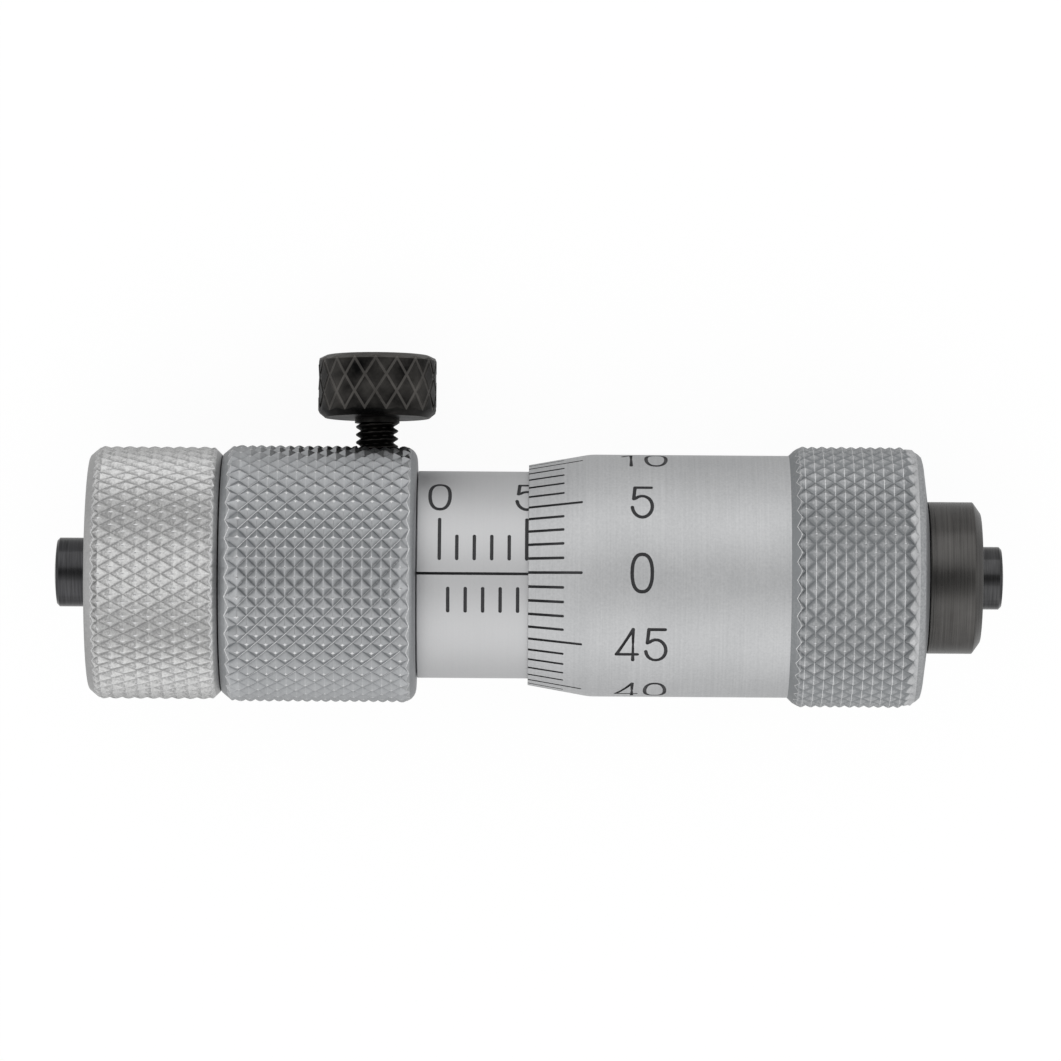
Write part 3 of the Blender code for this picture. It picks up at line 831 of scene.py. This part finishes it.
def make_clamp_collar(crest):
    low, high = ends("clamp_body")
    collar_end = ends("graduated_sleeve")[0] - SLEEVE_SEAM
    near_corner = (HEAD_RADIUS - 0.5, low)
    mouth_radius, mouth_depth, socket_end = SHANK_RADIUS + 0.37, 0.3, 11.2
    socket_radius = SHANK_RADIUS + SOCKET_FIT
    nut_end_start, nut_thread_start = high - 5.5, high - 7.9
    root = HEAD_RADIUS - HEAD_KNURL.depth
    rings = knurl_rings(
        HEAD_KNURL,
        HEAD_RADIUS,
        [Ring(0.6, HEAD_RADIUS - 0.02, root, -0.25, END_FLAT)],
        [Ring(10.73, HEAD_RADIUS - 0.04, root + 0.11, 0.18, END_FLAT)],
    )
    outline = [
        (NUT_END_TIP_RADIUS, high),
        (NUT_END_TOP_RADIUS, nut_end_start),
        (BARREL_RADIUS, nut_end_start),
        (BARREL_RADIUS, collar_end),
        *end_rounding(collar_end),
        *band(HEAD_RADIUS, rings),
        near_corner,
        (mouth_radius, low),
        (socket_radius, low + mouth_depth),
        (socket_radius, socket_end),
        (BARREL_ROOM_RADIUS, socket_end),
        (BARREL_ROOM_RADIUS, nut_thread_start),
        (NUT_THREAD_RADIUS, nut_thread_start),
        (NUT_THREAD_RADIUS, high),
    ]
    rounds = [(EDGE_ROUND, [near_corner])]
    piece = turned("clamp_collar_and_barrel", outline, HEAD_KNURL.teeth * 2, rounds)
    press_knurl(piece, HEAD_RADIUS, rings, HEAD_KNURL.teeth, ridges=True, grooves=True)
    past_knurl = HEAD_RADIUS + CUTTER_PAST
    hole_outline = [(0.0, past_knurl), (CLAMP_HOLE_RADIUS, past_knurl), (CLAMP_HOLE_RADIUS, 0.0), (0.0, 0.0)]
    hole = turned("clamp_hole", hole_outline, HOLE_STEPS)
    hole.matrix_world = Matrix.Translation((0.0, 0.0, CLAMP_ALONG)) @ Matrix.Rotation(math.pi / 2, 4, "Y")
    cut(piece, hole)
    smooth(piece)
    tones = (0.265, 0.275, 0.285), (0.478, 0.487, 0.497)
    dress(piece, knurled_chrome("head_chrome", root, rings, *tones), crest)
    place(piece, GAUGE, "head", "knurled_chrome", "clamp_body")


def make_clamp_screw():
    radius, under, top = 3.44, 9.08, 12.7
    under_corner, top_corner = (radius - 0.39, under), (radius - 0.42, top)
    low, high = under + 0.42, top - 0.33
    neck_radius, neck_end = 1.3, under - 0.3
    thread_low, thread_high = 4.1, under - 0.32
    tip_radius, tip = 0.95, 3.78
    outline = [
        (0.0, top),
        top_corner,
        *[(radius, high + (low - high) * row / HATCH_ROWS) for row in range(HATCH_ROWS + 1)],
        under_corner,
        (neck_radius, under),
        (neck_radius, neck_end),
        *thread_rings(thread_low, thread_high),
        (tip_radius, tip),
        (0.0, tip),
    ]
    piece = turned("knurled_clamp_screw", outline, HATCH_TEETH * 2, [(SEAM_CHAMFER, [top_corner])])
    press_hatch(piece, radius, low, high)
    cut_thread(piece)
    smooth(piece)
    black = black_oxide("clamp_screw_black", 0.16, high)
    dress(piece, black, black_oxide("clamp_screw_worn_grooves", 0.6, high))
    piece.matrix_world = Matrix.Rotation(HATCH_TURN, 4, "Z")
    place(piece, CLAMP, "screw", "black_oxide", "clamp_screw")


def press_hatch(piece, radius, low, high):
    """Cuts crossing grooves in a turned band and leaves flat diamonds between them."""
    pitch = (high - low) / HATCH_ROWS

    def in_band(point, parity):
        if abs(radius_of(point) - radius) > TOUCH or not low - TOUCH < point.z < high + TOUCH:
            return False
        row = round((point.z - low) / pitch)
        step = round(angle_of(point) / math.tau * 2 * HATCH_TEETH)
        return (row + step) % 2 == parity

    def is_inner_tip(point):
        return in_band(point, 0) and low + TOUCH < point.z < high - TOUCH

    def is_bottom(a, b):
        deep = max(radius_of(a), radius_of(b)) < radius - HATCH_DEPTH + TOUCH
        return deep and abs(b.z - a.z) > pitch / 2 and low - TOUCH < a.z < high + TOUCH

    edit(piece)
    pick(piece, lambda point: in_band(point, 1))
    bpy.ops.mesh.vert_connect()
    pick(piece, is_inner_tip)
    bpy.ops.mesh.dissolve_verts()
    pick_edges(piece, lambda a, b: in_band(a, 0) != in_band(b, 0) and abs(a.z - b.z) > pitch / 2)
    bpy.ops.mesh.dissolve_edges(use_verts=False)
    bpy.ops.mesh.select_mode(type="FACE")
    bpy.ops.mesh.select_all(action="DESELECT")
    mesh = bmesh.from_edit_mesh(piece.data)
    for face in mesh.faces:
        face.select_set(all(in_band(p.co, 0) or in_band(p.co, 1) for p in face.verts))
    bmesh.update_edit_mesh(piece.data)
    bpy.ops.mesh.inset(thickness=HATCH_HALF_WIDTH, depth=0.0, use_individual=True, use_even_offset=True)
    bpy.ops.mesh.select_mode(type="VERT")
    pick(piece, lambda point: in_band(point, 1) and is_on_ring(point, HATCH_TEETH * 2, low, pitch))
    share = (radius - HATCH_DEPTH) / radius
    stretch(share, share, 1.0)
    pick_edges(piece, is_bottom)
    bpy.ops.mesh.bevel(offset=HATCH_FLOOR, segments=1, affect="EDGES")
    open_second_slot(piece)
    bpy.ops.object.material_slot_assign()
    close_edit()


def is_on_ring(point, steps, low, pitch):
    """Whether a point is one of a turned band's own, and not a later one between them."""
    row = (point.z - low) / pitch
    step = angle_of(point) / math.tau * steps
    return abs(row - round(row)) < LOOSE_TOUCH and abs(step - round(step)) < LOOSE_TOUCH


def thread_rings(low, high):
    """The rings of the screw's stem, close enough together to carry its thread."""
    count = round((high - low) / THREAD_PITCH * RINGS_TO_A_TURN)
    return [(THREAD_CREST, high + (low - high) * ring / count) for ring in range(count + 1)]


def cut_thread(piece):
    """Presses the stem's rings in along a helix, one share of the turn after another."""
    edit(piece)
    shares = HATCH_TEETH * 2 * RINGS_TO_A_TURN // 4
    mesh = bmesh.from_edit_mesh(piece.data)
    groups = {}
    for point in mesh.verts:
        if abs(radius_of(point.co) - THREAD_CREST) < TOUCH:
            turns = point.co.z / THREAD_PITCH - angle_of(point.co) / math.tau
            groups.setdefault(round(turns % 1.0 * shares) % shares, []).append(point.index)
    for share, members in groups.items():
        rise = abs(2.0 * share / shares - 1.0)
        sunk = 1.0 - min(1.0, max(0.0, rise * THREAD_SLOPE - THREAD_FLOOR))
        scale = (THREAD_CREST - (THREAD_CREST - THREAD_ROOT) * sunk) / THREAD_CREST
        mesh = bmesh.from_edit_mesh(piece.data)
        mesh.verts.ensure_lookup_table()
        bpy.ops.mesh.select_all(action="DESELECT")
        for index in members:
            mesh.verts[index].select_set(True)
        bmesh.update_edit_mesh(piece.data)
        stretch(scale, scale, 1.0)
    close_edit()


def arc_mark(radius, start, end, z, width):
    """A cutter for a line that goes part of the way round, between two angles from the index line."""
    bpy.ops.object.select_all(action="DESELECT")
    bpy.ops.mesh.primitive_plane_add(size=1.0, rotation=(0.0, math.pi / 2, 0.0))
    cutter = bpy.context.object
    bpy.ops.object.transform_apply(location=True, rotation=True, scale=True)
    edit(cutter)
    bpy.ops.mesh.select_all(action="SELECT")
    stretch(1.0, CUTTER_HEIGHT, width)
    bpy.ops.transform.translate(value=(0.0, radius + ENGRAVED / 2, z))
    bpy.ops.transform.rotate(value=start, orient_axis="Z", center_override=ORIGIN)
    spin(MARK_STEPS, end - start)
    bpy.ops.mesh.select_all(action="SELECT")
    bpy.ops.mesh.normals_make_consistent(inside=False)
    for end_angle in (start, end):
        pick_edges(cutter, lambda a, b: is_end_edge(a, b, end_angle))
        round_mark_end(width)
        bpy.ops.mesh.select_mode(type="VERT")
    close_edit()
    return cutter


def round_mark_end(width):
    bpy.ops.mesh.bevel(offset=width * END_ROUNDING, segments=ROUND_SEGMENTS, affect="EDGES")


def is_end_edge(a, b, angle):
    """Whether an edge runs outwards at this angle from the index line."""
    outwards = abs(radius_of(a) - radius_of(b)) > ENGRAVED
    return outwards and abs(a.z - b.z) < TOUCH and abs(math.atan2(a.x, a.y) - angle) < TOUCH


def line_mark(start, end, width):
    """A cutter for a straight line along the gauge, on the scale's side, between two (radius, z) points."""
    bpy.ops.object.select_all(action="DESELECT")
    bpy.ops.mesh.primitive_cube_add(size=1.0)
    cutter = bpy.context.object
    length = math.hypot(end[0] - start[0], end[1] - start[1])
    edit(cutter)
    bpy.ops.mesh.select_all(action="SELECT")
    stretch(width, CUTTER_HEIGHT, length)
    pick_edges(cutter, lambda a, b: abs(a.y - b.y) > TOUCH and a.z > 0.0 and b.z > 0.0)
    round_mark_end(width)
    close_edit()
    cutter.rotation_euler.x = -math.atan2(end[0] - start[0], end[1] - start[1])
    cutter.location = (0.0, (start[0] + end[0]) / 2 + ENGRAVED / 2, (start[1] + end[1]) / 2)
    bpy.ops.object.transform_apply(location=True, rotation=True, scale=True)
    return cutter


def arc(cx, cy, rx, ry, start, end, steps=14):
    turns = [math.radians(start + (end - start) * step / steps) for step in range(steps + 1)]
    return [(cx + rx * math.cos(turn), cy + ry * math.sin(turn)) for turn in turns]


def oval(w, h, steps=32):
    """A rounded oval that is fuller than an ellipse."""

    def fuller(value):
        return math.copysign(abs(value) ** OVAL_POWER, value)

    turns = [math.tau * step / steps for step in range(steps)]
    return [(w * fuller(math.cos(turn)), h * fuller(math.sin(turn))) for turn in turns]


def digit_strokes(digit):
    """A digit's strokes as lists of (x, y) points about its middle."""
    w, h = DIGIT_HALF_WIDTH, DIGIT_HALF_HEIGHT
    if digit == "0":
        return [oval(w, h)]
    if digit == "1":
        return [[(w * 0.38, -h), (w * 0.38, h)], [(w * 0.38, h), (-w * 0.45, h * 0.6)]]
    if digit == "2":
        bowl = arc(0.0, h - w, w, w, 168, -32)
        return [bowl, [bowl[-1], (-w, -h)], [(-w, -h), (w, -h)]]
    if digit == "3":
        upper, lower = h * 0.46, h * 0.54
        return [arc(0.0, h - upper, w * 0.88, upper, 158, -90), arc(0.0, lower - h, w, lower, 90, -165)]
    if digit == "4":
        stem, left, bar = w * 0.6, -w * 1.04, -h * 0.59
        return [[(stem, -h), (stem, h)], [(stem, h), (left, bar)], [(left, bar), (-left, bar)]]
    bowl = arc(0.0, -h * 0.31, w, h * 0.69, 130, -174, 18)
    corner = (-w * 0.85, h * 0.17)
    return [[(w * 0.9, h), (-w * 0.72, h)], [(-w * 0.72, h), corner], [corner, *bowl]]


def number_cutters(text, radius, z, angle):
    """Cutters for a number's strokes, in passes so that the cutters of one pass don't meet."""
    passes = {}
    for place_in_text, digit in enumerate(text):
        middle = z + DIGIT_PITCH * (place_in_text - (len(text) - 1) / 2)
        for order, stroke in enumerate(digit_strokes(digit)):
            passes.setdefault(order, []).append(stroke_cutter(stroke, radius, middle, angle, digit == "0"))
    return passes


def with_round_ends(stroke):
    """A stroke's points with their share of the full width, and its ends drawn out into half rounds."""
    (x0, y0), (x1, y1) = stroke[0], stroke[1]
    (x2, y2), (x3, y3) = stroke[-2], stroke[-1]
    first, last = math.hypot(x0 - x1, y0 - y1), math.hypot(x3 - x2, y3 - y2)
    points = [(x, y, 1.0) for x, y in stroke]
    for out, share in STROKE_CAPS:
        reach = STROKE_RADIUS * out
        points.insert(0, (x0 + (x0 - x1) / first * reach, y0 + (y0 - y1) / first * reach, share))
        points.append((x3 + (x3 - x2) / last * reach, y3 + (y3 - y2) / last * reach, share))
    return points


def stroke_cutter(stroke, radius, z, angle, closed):
    """A round rod along one stroke, laid round the piece at its surface."""
    curve = bpy.data.curves.new("stroke", "CURVE")
    curve.dimensions = "3D"
    curve.bevel_depth = STROKE_RADIUS
    curve.bevel_resolution = 2
    curve.use_fill_caps = True
    points = [(x, y, 1.0) for x, y in stroke] if closed else with_round_ends(stroke)
    spline = curve.splines.new("POLY")
    spline.points.add(len(points) - 1)
    spline.use_cyclic_u = closed
    for point, (x, y, share) in zip(spline.points, points):
        turn = angle + y / radius
        point.co = (radius * math.sin(turn), radius * math.cos(turn), z + x, 1.0)
        point.radius = share
    select_only(added("stroke", curve))
    bpy.ops.object.convert(target="MESH")
    cutter = bpy.context.object
    edit(cutter)
    merge_doubles()
    bpy.ops.mesh.normals_make_consistent(inside=False)
    close_edit()
    return cutter


def engrave(piece, cutters, fill):
    """Cuts lines that don't meet one another, and leaves their floors filled."""
    cutter = joined("engraving", cutters)
    dress(cutter, fill)
    cut(piece, cutter)


def engrave_numbers(piece, numbers, fill):
    passes = {}
    for cutters in numbers:
        for order, strokes in cutters.items():
            passes.setdefault(order, []).extend(strokes)
    for order in sorted(passes):
        engrave(piece, passes[order], fill)


def scale_mark(z, side, length):
    """A cutter for one mark of the sleeve's scale; side is 1 above the index line and -1 below it."""
    start = SLEEVE_TURN + side * math.asin(FIRST_MARK_RISE / SLEEVE_RADIUS)
    end = SLEEVE_TURN + side * math.asin((FIRST_MARK_RISE + length) / SLEEVE_RADIUS)
    return arc_mark(SLEEVE_RADIUS, start, end, z, MARK_WIDTH)


def make_sleeve(fill):
    low, high = ends("graduated_sleeve")
    outline = [(SLEEVE_RADIUS, high), (SLEEVE_RADIUS, low), (SLEEVE_BORE, low), (SLEEVE_BORE, high)]
    piece = turned("scale_sleeve", outline, SLEEVE_STEPS, [(SEAM_CHAMFER, [(SLEEVE_RADIUS, low)])])
    smooth(piece)
    dress(piece, sleeve_chrome())
    plain = copy_of(piece)
    marks = []
    for step in range(SCALE_LENGTH + 1):
        marks.append(scale_mark(SCALE_ZERO + step, 1, LONG_MARK if step % 5 == 0 else SHORT_MARK))
    for step in range(SCALE_LENGTH):
        marks.append(scale_mark(SCALE_ZERO + step + 0.5, -1, SHORT_MARK))
    engrave(piece, marks, fill)
    last = SCALE_ZERO + SCALE_LENGTH + 0.5
    index = line_mark((SLEEVE_RADIUS, low - CUTTER_PAST), (SLEEVE_RADIUS, last), INDEX_WIDTH)
    index.rotation_euler.z = -SLEEVE_TURN
    engrave(piece, [index], fill)
    rise = SLEEVE_TURN + SLEEVE_NUMBERS_RISE
    numbers = [number_cutters(str(step), SLEEVE_RADIUS, SCALE_ZERO + step, rise) for step in (0, 5, 10)]
    engrave_numbers(piece, numbers, fill)
    keep_normals(piece, plain, low, high)
    place(piece, GAUGE, "sleeve", "satin_chrome", "graduated_sleeve")


def make_thimble(fill, crest):
    low, high = ends("thimble")
    face_start, bevel_end = high - 0.31, low + 3.56
    wall, taper_chamfer, knurl_chamfer = 3.6, 0.3, 0.6
    bevel_round, edge_round = 0.25, 0.03
    root = THIMBLE_KNURL_RADIUS - THIMBLE_KNURL.depth
    shoulder = THIMBLE_KNURL_RADIUS - 0.27
    rings = knurl_rings(
        THIMBLE_KNURL,
        THIMBLE_KNURL_RADIUS,
        [Ring(33.36, THIMBLE_KNURL_RADIUS - 0.07, root, -0.28, END_FLAT)],
        [
            Ring(39.784, THIMBLE_KNURL_RADIUS - 0.15, root - 0.14, 0.0, BROAD_FLAT),
            Ring(40.06, shoulder, shoulder, 0.0, 0.0),
        ],
    )
    knurl_start = rings[0].z
    outline = [
        (CAP_RADIUS, high),
        (6.75, face_start),
        (7.0, face_start - 0.07),
        (7.17, face_start - 0.25),
        *band(THIMBLE_KNURL_RADIUS, rings),
        (THIMBLE_RADIUS, knurl_start - knurl_chamfer),
        (THIMBLE_RADIUS, bevel_end),
        (THIMBLE_EDGE_RADIUS, low),
        (THIMBLE_BORE, low),
        (THIMBLE_BORE, high - wall),
        (TAPER_BORE + taper_chamfer, high - wall),
        (TAPER_BORE, face_start),
        (TAPER_BORE, high),
    ]
    rounds = [(bevel_round, [(THIMBLE_RADIUS, bevel_end)]), (edge_round, [(THIMBLE_EDGE_RADIUS, low)])]
    piece = turned("thimble_shell", outline, THIMBLE_KNURL.teeth * 2, rounds)
    press_knurl(piece, THIMBLE_KNURL_RADIUS, rings, THIMBLE_KNURL.teeth, ridges=True, bright_ridges=True)
    smooth(piece)
    dress(piece, thimble_chrome(root, rings, high), crest)
    plain = copy_of(piece)
    slope = (THIMBLE_RADIUS - THIMBLE_EDGE_RADIUS) / (bevel_end - low)
    before = 0.5
    marks = []
    for division in range(DIVISIONS):
        length = LONG_DIVISION if division % 5 == 0 else SHORT_DIVISION
        start = (THIMBLE_EDGE_RADIUS - slope * before, low - before)
        end = (THIMBLE_EDGE_RADIUS + slope * length, low + length)
        mark = line_mark(start, end, DIVISION_WIDTH)
        mark.rotation_euler.z = -THIMBLE_TURN - math.tau * division / DIVISIONS
        marks.append(mark)
    engrave(piece, marks, fill)
    numbers = []
    for step in range(0, DIVISIONS, 5):
        angle = THIMBLE_TURN + math.tau * step / DIVISIONS
        numbers.append(number_cutters(str(step), THIMBLE_RADIUS, THIMBLE_NUMBERS_AT, angle))
    engrave_numbers(piece, numbers, fill)
    keep_normals(piece, plain, low, knurl_start - 1.0)
    place(piece, GAUGE, "thimble_unit", "satin_chrome", "thimble")


def make_cap():
    low, high = ends("thimble_cap")
    hole = SPINDLE_PIN_RADIUS + PRESS_FIT
    face, chamfer_start, floor = CAP_RADIUS - 0.65, high - 0.46, high - 0.8
    outline = [
        (hole, high),
        (face, high),
        (CAP_RADIUS, chamfer_start),
        (CAP_RADIUS, low),
        (CAP_BORE, low),
        (CAP_BORE, floor),
        (hole, floor),
    ]
    rounds = [(EDGE_ROUND, [(face, high), (CAP_RADIUS, chamfer_start), (CAP_RADIUS, low)])]
    piece = turned("thimble_ring_nut", outline, CAP_STEPS, rounds)
    smooth(piece)
    dress(piece, turned_steel("cap_steel", (0.041, 0.039, 0.038), (0.136, 0.132, 0.127), 0.28, 10.0))
    place(piece, GAUGE, "thimble_unit", "dark_steel", "thimble_cap")


def make_spindle_pin():
    low, high = ends("spindle_contact")
    outline = [*dome(SPINDLE_PIN_RADIUS, high, 1), (SPINDLE_PIN_RADIUS, low), (0.0, low)]
    piece = turned("right_measuring_pin", outline, PIN_STEPS)
    smooth(piece)
    dress(piece, turned_steel("right_pin_steel", (0.016, 0.016, 0.017), (0.118, 0.118, 0.12), 0.13, 11.0))
    place(piece, GAUGE, "contact", "ground_steel", "spindle_contact")


def finish_inner_pieces():
    """The pieces that the others hide keep their solids and get a real surface."""
    steel = turned_steel("spindle_steel_ground", (0.36, 0.36, 0.37), (0.55, 0.55, 0.56), 0.28, 8.0)
    dress(frame["nodes"]["spindle"], steel)
    dress(frame["nodes"]["adjusting_nut"], steel)
    brass = turned_steel("pad_brass", (0.55, 0.38, 0.14), (0.76, 0.57, 0.25), 0.34, 8.0, CLAMP)
    dress(frame["nodes"]["clamp_pad"], brass)


def make_floor():
    bpy.ops.object.select_all(action="DESELECT")
    bpy.ops.mesh.primitive_plane_add(size=FLOOR_SIZE)
    floor = bpy.context.object
    floor.name = "floor"
    material = bpy.data.materials.new("white_table")
    material.use_nodes = True
    tree = material.node_tree
    tree.nodes.remove(tree.nodes["Principled BSDF"])
    path = tree.nodes.new("ShaderNodeLightPath")
    start = Wire(tree, path.outputs["Is Camera Ray"])
    mirrored = Wire(tree, path.outputs["Is Glossy Ray"]) + Wire(tree, path.outputs["Is Transmission Ray"])
    seen = start * FLOOR_WHITE + mirrored * FLOOR_WHITE_IN_METAL
    paint = start.add("ShaderNodeBsdfDiffuse", inputs={"Color": (0.6, 0.6, 0.6, 1.0)})
    glow = start.add("ShaderNodeEmission", inputs={"Color": (1.0, 1.0, 1.0, 1.0), "Strength": FLOOR_GLOW})
    mixed = start.add("ShaderNodeMixShader", inputs={0: seen, 1: paint, 2: glow})
    tree.links.new(mixed.socket, tree.nodes["Material Output"].inputs["Surface"])
    floor.data.materials.append(material)


def make_softbox(name, degrees, size, watts):
    """A lamp over the gauge, this many degrees from the camera's line towards the clamp screw's side."""
    data = bpy.data.lights.new(name, "AREA")
    data.shape = "RECTANGLE"
    data.size, data.size_y = size
    data.energy = watts
    lamp = added(name, data)
    turn = math.radians(degrees)
    back = VIEW * math.cos(turn) + VIEW_TOP * math.sin(turn)
    middle = Vector((0.0, LINE.y, LINE.z))
    lamp.matrix_world = frame_of(ALONG, back.cross(ALONG), back, middle + back * SOFTBOX_DISTANCE)


def make_world():
    """A white background to the camera, and a room that is darker where the camera stands."""
    world = bpy.data.worlds.new("studio")
    bpy.context.scene.world = world
    world.use_nodes = True
    tree = world.node_tree
    background = tree.nodes["Background"]
    background.inputs["Color"].default_value = (1.0, 1.0, 1.0, 1.0)
    camera_ray = Wire(tree, tree.nodes.new("ShaderNodeLightPath").outputs["Is Camera Ray"])
    towards = Wire(tree, tree.nodes.new("ShaderNodeTexCoord").outputs["Generated"]).dot(VIEW)
    facing = towards.math("MAXIMUM", towards, 0.0)
    room = ROOM_LIGHT - facing**CAMERA_NARROWNESS * CAMERA_SHADE
    strength = camera_ray + (1.0 - camera_ray) * room
    tree.links.new(strength.socket, background.inputs["Strength"])


def make_camera():
    """The photograph's view: down on the scale's side, a little off the gauge's middle and turned."""
    data = bpy.data.cameras.new("camera")
    data.lens = CAMERA_LENS
    camera = added("camera", data)
    aim = Vector((SEAT + AIM_ALONG * MM, LINE.y, LINE.z)) + VIEW_TOP * AIM_OUT * MM
    turn = frame_of(ALONG, VIEW_TOP, VIEW, aim + VIEW * CAMERA_DISTANCE)
    camera.matrix_world = turn @ Matrix.Rotation(CAMERA_ROLL, 4, "Z")
    bpy.context.scene.camera = camera


fill = black_fill()
crest = bright_crest()
make_rod_pin()
make_rod_shank()
make_rod_collar(crest)
make_clamp_collar(crest)
make_clamp_screw()
make_sleeve(fill)
make_thimble(fill, crest)
make_cap()
make_spindle_pin()
finish_inner_pieces()
make_floor()
make_softbox("upper_softbox", 52.0, (0.8, 0.92), 0.66)
make_softbox("lower_softbox", -58.0, (0.8, 0.72), 0.36)
make_world()
make_camera()
bpy.context.scene.view_settings.view_transform = "Standard"
